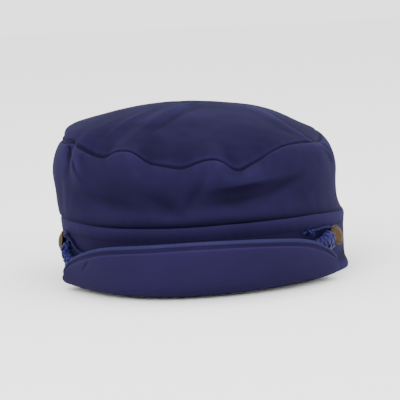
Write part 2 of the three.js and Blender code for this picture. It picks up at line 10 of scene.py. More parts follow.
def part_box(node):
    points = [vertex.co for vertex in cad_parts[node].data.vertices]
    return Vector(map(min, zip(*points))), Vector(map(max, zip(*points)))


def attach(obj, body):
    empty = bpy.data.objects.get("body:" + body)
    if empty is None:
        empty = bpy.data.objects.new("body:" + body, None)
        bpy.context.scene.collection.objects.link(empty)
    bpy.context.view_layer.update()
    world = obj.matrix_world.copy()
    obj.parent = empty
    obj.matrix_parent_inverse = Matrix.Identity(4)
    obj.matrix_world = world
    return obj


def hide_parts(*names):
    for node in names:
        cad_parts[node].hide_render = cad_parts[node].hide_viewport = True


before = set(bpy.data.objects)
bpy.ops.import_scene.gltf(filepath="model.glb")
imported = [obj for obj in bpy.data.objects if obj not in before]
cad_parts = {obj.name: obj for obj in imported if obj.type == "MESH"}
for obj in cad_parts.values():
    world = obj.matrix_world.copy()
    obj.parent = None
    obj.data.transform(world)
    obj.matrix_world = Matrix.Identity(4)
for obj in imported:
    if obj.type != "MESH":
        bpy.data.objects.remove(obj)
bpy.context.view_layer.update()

scene = bpy.context.scene
random.seed(7)

# The band's oval, which every other piece is placed by. Metres and degrees, 0 is the front.
bandSizes = {"halfWidth": 0.084, "halfDepth": 0.1014, "height": 0.0376}
bandLow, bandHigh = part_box("band")
middle = (bandLow + bandHigh) / 2
clearance = 0.00035  # metres between a piece and the one it lies on


def degreesOf(points):
    side = (points[:, 0] - middle.x) / bandSizes["halfWidth"]
    ahead = -(points[:, 1] - middle.y) / bandSizes["halfDepth"]
    return np.degrees(np.arctan2(side, ahead))


def outline(degrees):
    sin, cos = math.sin(math.radians(degrees)), math.cos(math.radians(degrees))
    out = Vector((sin / bandSizes["halfWidth"], -cos / bandSizes["halfDepth"], 0)).normalized()
    place = Vector((bandSizes["halfWidth"] * sin, -bandSizes["halfDepth"] * cos, 0))
    return place + Vector((middle.x, middle.y, 0)), out


def offBand(degrees, off, up):
    place, out = outline(degrees)
    return place + out * off + Vector((0, 0, up))


# Camera at the photograph's angle, found from the outlines of crown, band and peak.
cameraSettings = {
    "turn": 4.0,  # degrees round from the front
    "rise": 5.36,
    "roll": 2.67,
    "distance": 1.221,
    "aimHeight": 0.06,
    "pixelsPerMetre": 1667.5,
    "aimPixel": (200.7, 169.4),
    "pictureSize": 400,
    "sensor": 36,
}


def addObject(name, data):
    obj = bpy.data.objects.new(name, data)
    scene.collection.objects.link(obj)
    return obj


def placeCamera(settings):
    turn, rise, roll = (math.radians(settings[k]) for k in ("turn", "rise", "roll"))
    back = Vector((math.sin(turn) * math.cos(rise), -math.cos(turn) * math.cos(rise), math.sin(rise)))
    right = Vector((math.cos(turn), math.sin(turn), 0))
    up = back.cross(right)
    tiltedRight = right * math.cos(roll) - up * math.sin(roll)
    tiltedUp = right * math.sin(roll) + up * math.cos(roll)
    data = bpy.data.cameras.new("camera")
    size = settings["pictureSize"]
    data.sensor_width = settings["sensor"]
    data.lens = settings["distance"] * settings["pixelsPerMetre"] * settings["sensor"] / size
    data.shift_x = (size / 2 - settings["aimPixel"][0]) / size
    data.shift_y = (settings["aimPixel"][1] - size / 2) / size
    camera = addObject("camera", data)
    aim = Vector((middle.x, middle.y, settings["aimHeight"]))
    turned = Matrix((tiltedRight, tiltedUp, back)).transposed().to_4x4()
    camera.matrix_world = Matrix.Translation(aim + back * settings["distance"]) @ turned
    scene.camera = camera


placeCamera(cameraSettings)
print("camera placed")


# Colours are written as the screen shows them and turned to linear here.
def colour(hexText):
    parts = [int(hexText[i:i + 2], 16) / 255 for i in (1, 3, 5)]
    return [p / 12.92 if p <= 0.04045 else ((p + 0.055) / 1.055) ** 2.4 for p in parts] + [1]


def addNode(tree, kind, settings=None, links=None):
    node = tree.nodes.new("ShaderNode" + kind)
    for key, value in (settings or {}).items():
        if isinstance(key, int) or key in node.inputs:
            node.inputs[key].default_value = value
        else:
            setattr(node, key, value)
    for key, socket in (links or {}).items():
        tree.links.new(socket, node.inputs[key])
    return node


def newMaterial(name):
    material = bpy.data.materials.new(name)
    material.use_nodes = True
    material.node_tree.nodes.clear()
    return material, material.node_tree


def addSurface(tree, settings, links):
    shader = addNode(tree, "BsdfPrincipled", settings, links)
    addNode(tree, "OutputMaterial", {}, {"Surface": shader.outputs[0]})


# A place in mm, so that pattern sizes are real ones.
def inMillimetres(tree, place):
    return addNode(tree, "Mapping", {"Scale": (1000, 1000, 1000)}, {"Vector": place}).outputs[0]


def clothPlace(tree):
    return inMillimetres(tree, addNode(tree, "UVMap", {"uv_map": "cloth"}).outputs[0])


def addNoise(tree, place, pattern):
    return addNode(tree, "TexNoise", pattern, {"Vector": place})


def ridgeValue(tree):
    return addNode(tree, "Attribute", {"attribute_name": "ridge"}).outputs["Fac"]


def slantedPlace(tree, place, degrees):
    turn = {"Rotation": (0, 0, math.radians(degrees))}
    return addNode(tree, "Mapping", turn, {"Vector": place}).outputs[0]


# The look's deep, base and pale colours, picked by its share of one value plus another.
def addTone(tree, look, scaled, added):
    settings = {"operation": "MULTIPLY_ADD", 1: look["share"]}
    worn = addNode(tree, "Math", settings, {0: scaled, 2: added})
    tone = addNode(tree, "ValToRGB", {}, {"Fac": worn.outputs[0]})
    deepAt, baseAt, paleAt = look["stops"]
    deepest, palest = tone.color_ramp.elements
    deepest.position, deepest.color = deepAt, colour(look["deep"])
    palest.position, palest.color = paleAt, colour(look["pale"])
    tone.color_ramp.elements.new(baseAt).color = colour(look["base"])
    return tone.outputs["Color"]


def addCloth(tree, look, weave, tone, height):
    bump = addNode(tree, "Bump", weave["bump"], {"Height": height})
    settings = {"Roughness": look["roughness"], "Sheen Weight": look["sheen"],
                "Sheen Tint": colour(weave["sheenTint"]), **weave["surface"]}
    addSurface(tree, settings, {"Base Color": tone, "Normal": bump.outputs[0]})


# Navy cotton twill, woven and garment-washed: soft, matt, a little pale on its ridges.
twill = {
    "base": "#130e27",
    "pale": "#1d1836",
    "deep": "#0d0a1d",
    "stops": (0.2, 0.58, 0.95),  # wear at which the deep, base and pale colours stand
    "share": 0.22,  # of the uneven fading, beside the wear on ridges
    "thread": 0.9,  # mm between twill lines, drawn half as coarse again as real so that they show
    "roughness": 0.85,
    "sheen": 0.03,
}
# The same cloth pressed firm over the band's stiffening, painted lighter than the crown's against the
# shade that falls on the band between crown and peak.
bandTwillPaintedLighter = {**twill, "base": "#17122d", "pale": "#221c3f", "deep": "#0e0b1f"}
# The top panel faces the light, so its cloth is painted darker than the wall's: painted shade that holds
# back the light from above.
panelTwillPaintedDarker = {**twill, "base": "#0f0b23", "pale": "#191432", "deep": "#0b0819"}
# Smoother and bluer cotton stretched over the peak's board, painted lighter than the crown's for the light
# that falls on the peak's face.
peakCotton = {
    **twill,
    "base": "#19132f",
    "pale": "#231d3f",
    "deep": "#100b23",
    "thread": 0.7,  # mm, drawn half as coarse again as real
    "roughness": 0.8,
}
# Bias-cut binding of the same cotton. Its pale colour on the rounded top is partly rubbed wear and partly
# a painted highlight along the edge.
bindingCotton = {**peakCotton, "base": "#17142f", "pale": "#2c2a4c"}
# What every cotton here shares. A noise's scale is the number of its patches in one mm.
cottonWeave = {
    "slant": 52,  # degrees that the twill lines lean
    "lines": {"Detail": 1.5, "Distortion": 0.6},
    "lineScale": 0.314,  # scale of a wave that has one line in each mm
    "warp": {"Scale": 0.35, "Detail": 2},  # what bends the lines
    "warpShare": 0.8,
    "slub": {"Scale": 1.6, "Detail": 3},  # thick and thin places of the yarn
    "slubHeight": 0.7,
    "fading": {"Scale": 0.035, "Detail": 4},  # patches of about 30 mm
    "threadLight": {"From Min": 0, "From Max": 0.7, "To Min": 0.92, "To Max": 1.09},
    "bump": {"Strength": 0.25, "Distance": 0.00014},
    "surface": {"Sheen Roughness": 0.45, "Specular IOR Level": 0.04},
    "sheenTint": "#5a5ad0",
}


# Cotton cloth: the eye gets fine slanting lines, dull sheen and paler, rubbed ridges.
def cottonMaterial(name, look):
    weave = cottonWeave
    material, tree = newMaterial(name)
    cloth = clothPlace(tree)
    slanted = slantedPlace(tree, cloth, weave["slant"])
    warp = addNoise(tree, cloth, weave["warp"])
    mixing = {"blend_type": "ADD", 0: weave["warpShare"]}
    bent = addNode(tree, "MixRGB", mixing, {1: slanted, 2: warp.outputs["Color"]})
    spacing = {"Scale": weave["lineScale"] / look["thread"]}
    lines = addNode(tree, "TexWave", {**weave["lines"], **spacing}, {"Vector": bent.outputs[0]})
    slub = addNoise(tree, cloth, weave["slub"])
    fading = addNoise(tree, cloth, weave["fading"])
    tone = addTone(tree, look, fading.outputs["Fac"], ridgeValue(tree))
    threads = addNode(tree, "Math", {"operation": "MULTIPLY"},
                      {0: lines.outputs["Fac"], 1: slub.outputs["Fac"]})
    light = addNode(tree, "MapRange", weave["threadLight"], {"Value": threads.outputs[0]})
    woven = addNode(tree, "VectorMath", {"operation": "SCALE"}, {0: tone, "Scale": light.outputs[0]})
    height = addNode(tree, "Math", {"operation": "MULTIPLY_ADD", 1: weave["slubHeight"]},
                     {0: slub.outputs["Fac"], 2: lines.outputs["Fac"]})
    addCloth(tree, look, weave, woven.outputs[0], height.outputs[0])
    return material


# Rayon braid in royal blue: shiny twisted filaments, with small bright spots in the pale colour painted on
# as their glints of light.
cordRayon = {
    "base": "#201c5c",
    "pale": "#8484dc",
    "deep": "#0e0c38",
    "stops": (0.48, 0.64, 0.8),
    "share": 0.2,  # of the wear on ridges, beside the painted glints
    "roughness": 0.4,
    "sheen": 0.0,
}
# The pale colours of the strands and frayed ends are painted glints too.
strandRayon = {**cordRayon, "base": "#12124e", "pale": "#2c3296", "deep": "#0a0a30", "roughness": 0.5}
frayedRayon = {**strandRayon, "base": "#201f5e", "pale": "#8c90d4", "deep": "#0e0f3a", "sheen": 0.2}
rayonThreads = {
    "slant": 35,  # degrees that the filaments lean
    "filaments": {"Scale": 0.7, "Distortion": 1.2, "Detail": 2},
    "paintedGlints": {"Scale": 1.5, "Detail": 3, "Roughness": 0.7},
    "bump": {"Strength": 0.5, "Distance": 0.0002},
    "surface": {"Specular IOR Level": 0.1},
    "sheenTint": "#9aa2ff",
}


def rayonMaterial(name, look):
    weave = rayonThreads
    material, tree = newMaterial(name)
    cloth = clothPlace(tree)
    slanted = slantedPlace(tree, cloth, weave["slant"])
    filaments = addNode(tree, "TexWave", weave["filaments"], {"Vector": slanted})
    # Small bright spots of painted glints, in the look's pale colour.
    paintedGlints = addNoise(tree, cloth, weave["paintedGlints"])
    tone = addTone(tree, look, ridgeValue(tree), paintedGlints.outputs["Fac"])
    addCloth(tree, look, weave, tone, filaments.outputs["Fac"])
    return material


# Cast brass left to age: brown film, dull green in the low places, rubbed gold on the rim.
agedBrass = {
    "gold": "#57432e",
    "film": "#3a2b20",
    "green": "#2e3020",
    "patches": {"Scale": 0.22, "Detail": 5},
    "tarnish": {"Scale": 0.5, "Detail": 4, "Roughness": 0.7},
    "rubbed": {"From Min": 0.45, "From Max": 0.8},
    "dull": {"To Min": 0.4, "To Max": 0.7},
    "bump": {"Strength": 0.2, "Distance": 0.0001},
}


def brassMaterial(name, look):
    material, tree = newMaterial(name)
    place = inMillimetres(tree, addNode(tree, "TexCoord").outputs["Object"])
    film = addNoise(tree, place, look["patches"])
    tarnish = addNoise(tree, place, look["tarnish"])
    filmTone = addNode(tree, "MixRGB", {1: colour(look["film"]), 2: colour(look["green"])},
                       {0: film.outputs["Fac"]})
    rubbed = addNode(tree, "MapRange", look["rubbed"], {"Value": ridgeValue(tree)})
    tone = addNode(tree, "MixRGB", {2: colour(look["gold"])},
                   {0: rubbed.outputs[0], 1: filmTone.outputs[0]})
    dull = addNode(tree, "MapRange", look["dull"], {"Value": tarnish.outputs["Fac"]})
    bump = addNode(tree, "Bump", look["bump"], {"Height": tarnish.outputs["Fac"]})
    addSurface(tree, {"Metallic": 1.0},
               {"Base Color": tone.outputs[0], "Roughness": dull.outputs[0], "Normal": bump.outputs[0]})
    return material


materials = {
    "crown": cottonMaterial("washed navy cotton twill", twill),
    "panel": cottonMaterial("washed navy cotton twill of the top, painted darker", panelTwillPaintedDarker),
    "band": cottonMaterial("pressed navy cotton twill, painted lighter", bandTwillPaintedLighter),
    "peak": cottonMaterial("smooth navy cotton", peakCotton),
    "binding": cottonMaterial("navy bias binding", bindingCotton),
    "cord": rayonMaterial("royal blue rayon braid", cordRayon),
    "strand": rayonMaterial("dark blue rayon strand", strandRayon),
    "fray": rayonMaterial("frayed rayon ends", frayedRayon),
    "brass": brassMaterial("aged cast brass", agedBrass),
}
print("materials made")


def applyModifiers(obj):
    old = obj.data
    graph = bpy.context.evaluated_depsgraph_get()
    mesh = bpy.data.meshes.new_from_object(obj.evaluated_get(graph))
    obj.modifiers.clear()
    obj.data = mesh
    bpy.data.meshes.remove(old)
    mesh.shade_smooth()


softening = {"weld": 1e-6, "join": 50}  # metres and degrees


# A soft copy of a construction piece: welded, in four-sided faces and rounded.
def softCopy(node, name, rounds):
    bm = bmesh.new()
    bm.from_mesh(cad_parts[node].data)
    bmesh.ops.remove_doubles(bm, verts=bm.verts, dist=softening["weld"])
    limit = math.radians(softening["join"])
    bmesh.ops.join_triangles(bm, faces=bm.faces, angle_face_threshold=limit, angle_shape_threshold=limit)
    mesh = bpy.data.meshes.new(name)
    bm.to_mesh(mesh)
    bm.free()
    mesh.materials.clear()
    obj = addObject(name, mesh)
    obj.modifiers.new("rounding", "SUBSURF").levels = rounds
    applyModifiers(obj)
    return obj


# One value, or one row of them, for each item of a mesh's data.
def readAll(data, key, width=1, kind=float):
    values = np.empty(len(data) * width, kind)
    data.foreach_get(key, values)
    return values.reshape(-1, width) if width > 1 else values


def pointsOf(obj):
    return readAll(obj.data.vertices, "co", 3)


def normalsOf(obj):
    return readAll(obj.data.vertex_normals, "vector", 3)


def setPoints(obj, points):
    obj.data.vertices.foreach_set("co", points.ravel())
    obj.data.update()


# Points of a piece after each has moved to the middle of its neighbours some times over.
def smoothedPoints(obj, passes):
    smooth = pointsOf(obj)
    a, b = readAll(obj.data.edges, "vertices", 2, int).T
    count = np.bincount(np.r_[a, b], minlength=len(smooth))[:, None]
    for _ in range(passes):
        total = np.zeros_like(smooth)
        np.add.at(total, a, smooth[b])
        np.add.at(total, b, smooth[a])
        smooth = total / np.maximum(count, 1)
    return smooth


ridgeReach = {"cloth": 0.0005, "tube": 0.0003, "brass": 0.00025}  # metres that make a full ridge


# How far each point stands above its neighbours, from 0 in a hollow to 1 on a ridge.
# Where share is under 1, the cloth keeps more of its usual tone.
def markRidges(obj, reach, passes=6, share=1):
    stand = ((pointsOf(obj) - smoothedPoints(obj, passes)) * normalsOf(obj)).sum(1)
    stand = share * stand + (1 - share) * np.median(stand[stand > 0])
    values = np.clip(0.5 + 0.5 * stand / reach, 0, 1)
    attribute = obj.data.attributes.new("ridge", "FLOAT", "POINT")
    attribute.data.foreach_set("value", values)


# Paints shade beside a seam by lowering the ridge value there, so that the cloth takes its deep colour:
# away is each point's way from it, in mm.
def shadeSeam(obj, away, reach, depth=1):
    data = obj.data.attributes["ridge"].data
    data.foreach_set("value", readAll(data, "value") * (1 - depth * np.exp(-(away / reach) ** 2)))


# Lays the weave on a piece: along and up the cloth, in metres. Turn is the way once round,
# which a face that closes the ring must not span.
def layWeave(obj, along, up, turn=0):
    mesh = obj.data
    for old in list(mesh.uv_layers):
        mesh.uv_layers.remove(old)
    layer = mesh.uv_layers.new(name="cloth")
    corner = readAll(mesh.loops, "vertex_index", kind=int)
    u = along[corner]
    if turn:
        start = readAll(mesh.polygons, "loop_start", kind=int)
        first = np.repeat(u[start], readAll(mesh.polygons, "loop_total", kind=int))
        u = u - turn * np.round((u - first) / turn)
    layer.data.foreach_set("uv", np.stack([u, up[corner]], 1).ravel())


def finishPiece(obj, material, slot, *nodes):
    obj.data.materials.clear()
    obj.data.materials.append(materials[material])
    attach(obj, "root")
    if nodes:
        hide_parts(*nodes)


def outwardOf(points):
    out = np.stack([(points[:, 0] - middle.x) / bandSizes["halfWidth"] ** 2,
                    (points[:, 1] - middle.y) / bandSizes["halfDepth"] ** 2,
                    np.zeros(len(points))], 1)
    return out / np.maximum(np.linalg.norm(out, axis=1), 1e-9)[:, None]


def noiseAt(points, size, seed):
    return np.array([noise.noise(Vector(p) / size + Vector((seed, 0, 0))) for p in points])


# Height of a ring's highest or lowest points, taken at even steps round the cap.
def ringHeight(points, pick, steps=120):
    wide = 360 / steps
    bins = np.round(degreesOf(points) / wide).astype(int) % steps
    heights = [pick(points[bins == k, 2]) for k in range(steps)]
    return lambda degrees: np.interp((degrees / wide) % steps, np.arange(steps + 1), heights + heights[:1])


def surfaceTree(obj):
    return BVHTree.FromObject(obj, bpy.context.evaluated_depsgraph_get())


# A seam: how far one edge goes into the other, the least way counted and how the pull fades.
sewing = {"sink": 0.15, "least": 0.05, "fade": 0.4}  # mm, mm, and a share of the reach


# Draws the cloth within reach of another piece up to it, as a seam does, and a little into it.
def drawTo(obj, other, reach):
    tree = surfaceTree(other)
    points = pointsOf(obj)
    for i, point in enumerate(points):
        place, _, _, away = tree.find_nearest(Vector(point), reach / 1000)
        if place is None:
            continue
        away = max(away * 1000, sewing["least"])
        share = min(max((reach - away) / (sewing["fade"] * reach), 0), 1)
        points[i] += (np.array(place) - point) * share * (1 + sewing["sink"] / away)
    setPoints(obj, points)


def turnedGap(degrees, at):
    return (degrees - at + 180) % 360 - 180


meanRadius = (bandSizes["halfWidth"] + bandSizes["halfDepth"]) / 2
wholeRound = 2 * math.pi * meanRadius


# The way round the cap from the front, in metres.
def wayRound(degrees):
    return np.radians(degrees) * meanRadius


# Gathers along a seam, from 0 to 1, a little out of step.
def gathers(points, degrees, finish, seed):
    way = wayRound(degrees) * 1000 + finish["puckerStray"] * noiseAt(points, finish["strayPatch"], seed)
    return np.abs(np.sin(np.pi * way / finish["puckerSpacing"]))


# A fold's section, a narrow crest on a softer foot, and how it runs out at its ends.
def foldShape(along, across):
    crest = 0.6 * np.exp(-0.5 * across ** 2)
    return np.exp(-0.5 * along ** 2) * (crest + 0.4 / (1 + (across / 0.8) ** 2) ** 2)


def foldHeight(fold, x, y):
    c, s = math.cos(math.radians(fold["lean"])), math.sin(math.radians(fold["lean"]))
    return fold["out"] * foldShape((x * c + y * s) / fold["long"], (y * c - x * s) / fold["wide"])


# Folds of the side wall: degrees, height, half length and half width in mm, lean, and depth in mm.
wallFolds = [
    {"at": 20, "up": 52, "long": 12, "wide": 2.8, "lean": 5, "out": -1.6},
    {"at": 24, "up": 60.5, "long": 14, "wide": 2.4, "lean": 4, "out": 0.8},
    {"at": -10, "up": 50, "long": 9, "wide": 3.0, "lean": -22, "out": -0.5},
    {"at": 3, "up": 57, "long": 8, "wide": 2.0, "lean": 47, "out": -0.4},
    {"at": 6, "up": 62, "long": 8, "wide": 2.2, "lean": 47, "out": 0.3},
    {"at": -56, "up": 74.5, "long": 7.5, "wide": 1.3, "lean": -43, "out": -2.4},
    {"at": -63, "up": 78.5, "long": 4, "wide": 2.0, "lean": -58, "out": -3.4},
    {"at": -52.5, "up": 76, "long": 8, "wide": 2.2, "lean": -43, "out": 0.5},
    {"at": -33, "up": 52, "long": 16, "wide": 3.4, "lean": -8, "out": -0.7},
    {"at": 40, "up": 57, "long": 9, "wide": 2.2, "lean": 12, "out": -0.8},
    {"at": 79, "up": 67, "long": 8, "wide": 1.8, "lean": -30, "out": 1.5},
    {"at": 80, "up": 71.5, "long": 7, "wide": 1.5, "lean": -30, "out": -1.5},
    {"at": 86, "up": 58, "long": 8, "wide": 2.2, "lean": -70, "out": -0.8},
]
# Creases of the top panel in plan, from its middle: x and y in mm.
panelFolds = [
    {"x": -14, "y": -30, "long": 22, "wide": 1.8, "lean": 62, "out": 0.6},
    {"x": -8, "y": -37, "long": 20, "wide": 2.2, "lean": 62, "out": -0.5},
    {"x": -38, "y": -42, "long": 14, "wide": 2.0, "lean": 55, "out": 0.4},
    {"x": 57, "y": -29, "long": 13, "wide": 2.4, "lean": -46, "out": 0.7},
    {"x": 67, "y": -23, "long": 9, "wide": 1.4, "lean": -46, "out": -1.8},
]
# Where the slumped crown stands fuller: degrees, height and their reaches, and mm outward.
crownFills = [
    {"at": 92, "spread": 28, "up": 68, "high": 13, "out": 1.7},
    {"at": -85, "spread": 28, "up": 89, "high": 6.5, "out": 2.2},
]
topRise = {"x": 45, "wide": 26, "from": 78, "over": 12, "high": 1.2}  # mm, the top's higher side
crownFinish = {
    "rumple": 0.55,  # mm, broad soft unevenness
    "rumplePatch": {"wall": 0.030, "panel": 0.034},  # metres
    "ripple": 0.16,  # mm, small unevenness
    "ripplePatch": 0.009,
    "slack": {"from": 85, "over": 40, "more": 0.6},  # degrees, degrees and share, looser behind
    "pucker": 0.14,  # mm, gathers along the seams
    "puckerSpacing": 8.5,  # mm
    "puckerStray": 4,
    "strayPatch": 0.02,  # metres
    "puckerReach": 4,  # mm that the gathers run into the cloth
    "footPucker": 0.7,  # share of them at the wall's foot
    "held": 1.5,  # mm of cloth that a seam holds still
    "footOut": 0.9,  # mm, where the wall's foot rests on the band's roll
    "footHigh": 2.5,
    "footShade": 1.4,
    "seamDraw": 1.1,  # mm, how near two edges are drawn together
    "seamSunk": 0.5,  # mm that the top panel's edge lies below the wall's
    "sunkWide": 0.9,
    "rimShade": {"reach": 0.6, "depth": 0.4},  # mm and share
    "apex": (-11.8, 5.1),  # mm from the band's middle
    "apexReach": 26,  # mm
    "apexFit": 1.6,  # times the reach, the cloth that the dome is fitted to
    "apexTone": 1.5,
}


def fillOut(points):
    up, x = points[:, 2] * 1000, (points[:, 0] - middle.x) * 1000
    degrees, outward = degreesOf(points), outwardOf(points)
    filled = points.copy()
    for fill in crownFills:
        across = turnedGap(degrees, fill["at"]) / fill["spread"]
        above = (up - fill["up"]) / fill["high"]
        filled += outward * (fill["out"] / 1000 * np.exp(-across ** 2 - above ** 2))[:, None]
    side = np.exp(-((x - topRise["x"]) / topRise["wide"]) ** 2)
    share = side * np.clip((up - topRise["from"]) / topRise["over"], 0, 1)
    filled[:, 2] += topRise["high"] / 1000 * share
    return filled


def wallRelief(points, seamAt, footAt):
    finish = crownFinish
    degrees, up = degreesOf(points), points[:, 2]
    amount = np.zeros(len(points))
    for fold in wallFolds:
        side = wayRound(turnedGap(degrees, fold["at"])) * 1000
        amount += foldHeight(fold, side, up * 1000 - fold["up"])
    slack = finish["slack"]
    behind = np.clip((np.abs(turnedGap(degrees, 0)) - slack["from"]) / slack["over"], 0, 1)
    rumple = noiseAt(points, finish["rumplePatch"]["wall"], 3)
    amount += finish["rumple"] * (1 + slack["more"] * behind) * rumple
    amount += finish["ripple"] * noiseAt(points, finish["ripplePatch"], 11)
    nearSeam = (seamAt(degrees) - up) * 1000
    nearFoot = (up - footAt(degrees)) * 1000
    ends = np.exp(-nearSeam / finish["puckerReach"])
    ends = ends + finish["footPucker"] * np.exp(-nearFoot / finish["puckerReach"])
    amount += finish["pucker"] * gathers(points, degrees, finish, 5) * ends
    held = np.clip(np.minimum(nearSeam, nearFoot) / finish["held"], 0, 1)
    footOut = finish["footOut"] * np.exp(-nearFoot / finish["footHigh"])
    return (amount * held + footOut) / 1000


def panelRelief(points, rimAt):
    finish = crownFinish
    x, y = (points[:, 0] - middle.x) * 1000, (points[:, 1] - middle.y) * 1000
    degrees = degreesOf(points)
    amount = np.zeros(len(points))
    for fold in panelFolds:
        amount += foldHeight(fold, x - fold["x"], y - fold["y"])
    rumple = finish["rumple"] * noiseAt(points, finish["rumplePatch"]["panel"], 21)
    amount += rumple + finish["ripple"] * noiseAt(points, finish["ripplePatch"], 31)
    inward = np.maximum(rimAt(degrees) - np.hypot(x / 1000, y / 1000), 0) * 1000
    beat = gathers(points, degrees, finish, 8)
    amount += finish["pucker"] * beat * np.exp(-inward / finish["puckerReach"])
    sunk = finish["seamSunk"] * np.exp(-(inward / finish["sunkWide"]) ** 2)
    return (amount * np.clip(inward / finish["held"], 0, 1) - sunk) / 1000


# Draws the cloth round the top's highest point onto one even dome, outside and inside.
def roundApex(panel, points):
    x = (points[:, 0] - middle.x) * 1000 - crownFinish["apex"][0]
    y = (points[:, 1] - middle.y) * 1000 - crownFinish["apex"][1]
    away = np.hypot(x, y) / crownFinish["apexReach"]
    facing = normalsOf(panel)[:, 2]
    for side in (1, -1):
        layer = (facing * side > 0) & (away < crownFinish["apexFit"])
        terms = np.stack([np.ones(len(x)), x, y, x * x, x * y, y * y], 1)[layer]
        dome = terms @ np.linalg.lstsq(terms, points[layer, 2], rcond=None)[0]
        points[layer, 2] += (dome - points[layer, 2]) * np.exp(-away[layer] ** 2)
    return away


def pushOut(obj, amount, outward):
    points, normals = pointsOf(obj), normalsOf(obj)
    facing = np.sign((normals * outward).sum(1))
    facing[facing == 0] = 1
    setPoints(obj, points + normals * (facing * amount)[:, None])


def makeCrown():
    wall = softCopy("crown_side", "crown_wall", 2)
    points = fillOut(pointsOf(wall))
    setPoints(wall, points)
    degrees, up = degreesOf(points), points[:, 2]
    seamAt, footAt = ringHeight(points, np.max), ringHeight(points, np.min)
    pushOut(wall, wallRelief(points, seamAt, footAt), outwardOf(points))
    markRidges(wall, ridgeReach["cloth"])
    # Painted shade along the wall's foot, under its overhang on the band's roll.
    shadeSeam(wall, (up - footAt(degrees)) * 1000, crownFinish["footShade"])
    layWeave(wall, wayRound(degrees), up, wholeRound)
    finishPiece(wall, "crown", "crown_cloth", "crown_side")
    panel = softCopy("crown_top", "crown_panel", 2)
    points = fillOut(pointsOf(panel))
    fromApex = roundApex(panel, points)
    setPoints(panel, points)
    reach = np.hypot(points[:, 0] - middle.x, points[:, 1] - middle.y)
    rimAt = ringHeight(np.stack([points[:, 0], points[:, 1], reach], 1), np.max)
    pushOut(panel, panelRelief(points, rimAt), np.tile([0, 0, 1.0], (len(points), 1)))
    drawTo(panel, wall, crownFinish["seamDraw"])
    apexShare = 1 - np.exp(-(crownFinish["apexTone"] * fromApex) ** 2)
    markRidges(panel, ridgeReach["cloth"], share=apexShare)
    # Painted shade along the top panel's edge, in the groove of its seam.
    shade = crownFinish["rimShade"]
    shadeSeam(panel, (rimAt(degreesOf(points)) - reach) * 1000, shade["reach"], shade["depth"])
    layWeave(panel, points[:, 0], points[:, 1])
    finishPiece(panel, "panel", "crown_cloth", "crown_top")
    return wall


crownWall = makeCrown()
print("crown made")


# The headband keeps its firm roll; its hem is turned and pulls a little at its stitches.
# The hem's flare, fold and lift stand at the wearer's left. Degrees and mm.
bandFinish = {
    "ripple": 0.25,
    "ripplePatch": 0.022,  # metres
    "pucker": 0.08,
    "puckerSpacing": 7.0,
    "puckerStray": 3,
    "strayPatch": 0.02,  # metres
    "puckerReach": 3,
    "hemFlare": {"at": 84, "spread": 9, "up": 1.5, "high": 3.8, "out": 2.7},
    "hemFold": {"at": 80, "up": 8.5, "long": 8, "wide": 1.2, "lean": 0.15, "deep": 0.7},
    "hemLift": {"at": 84, "reach": 11, "over": 12, "high": 0.2},
}
stitchShare = 0.8  # height of the band's stitches as a share of its own


def makeBand():
    finish = bandFinish
    band = softCopy("band", "headband", 2)
    points = pointsOf(band)
    degrees, up = degreesOf(points), points[:, 2] * 1000
    top = ringHeight(points, np.max)(degrees) * 1000
    amount = finish["ripple"] * noiseAt(points, finish["ripplePatch"], 41)
    atStitches = np.exp(-((up - stitchShare * top) / finish["puckerReach"]) ** 2)
    amount += finish["pucker"] * gathers(points, degrees, finish, 2) * atStitches
    flare = finish["hemFlare"]
    share = np.exp(-(turnedGap(degrees, flare["at"]) / flare["spread"]) ** 2)
    share = share * np.exp(-((up - flare["up"]) / flare["high"]) ** 2)
    amount += flare["out"] * share
    fold = finish["hemFold"]
    side = wayRound(turnedGap(degrees, fold["at"])) * 1000
    rise = up - fold["up"] + fold["lean"] * side
    amount -= fold["deep"] * foldShape(side / fold["long"], rise / fold["wide"])
    amount *= np.clip(0.5 + up, 0, 1)  # the hem's underside stays flat
    pushOut(band, amount / 1000, outwardOf(points))
    lift = finish["hemLift"]
    share = np.exp(-(turnedGap(degrees, lift["at"]) / lift["reach"]) ** 2)
    share = share * np.clip(1 - up / lift["over"], 0, 1)
    moved = pointsOf(band)
    moved[:, 2] = np.maximum(moved[:, 2] + lift["high"] / 1000 * share, 0)
    setPoints(band, moved)
    markRidges(band, ridgeReach["cloth"])
    layWeave(band, wayRound(degrees), points[:, 2], wholeRound)
    finishPiece(band, "band", "band_cloth", "band")
    return band


headband = makeBand()
drawTo(crownWall, headband, crownFinish["seamDraw"])
print("band made")


# The peak's cotton lies smooth over its board, with one small pucker low on its right side
# and a line pressed by the seam of its binding. Degrees and mm.
peakFinish = {
    "ripple": 0.18,
    "ripplePatch": 0.024,  # metres
    "pucker": {"at": -37, "up": 18, "long": 4.5, "wide": 1.3, "deep": 0.7},
    "slit": 1.7,  # how near the binding the cloth is drawn up to it
    "groove": {"at": 1.5, "wide": 0.5, "deep": 0.35},  # from the binding
    "welt": {"at": 2.4, "wide": 0.6, "high": 0.2},
    "bindingStretch": 1.3,  # the binding's way round beside the band's
}


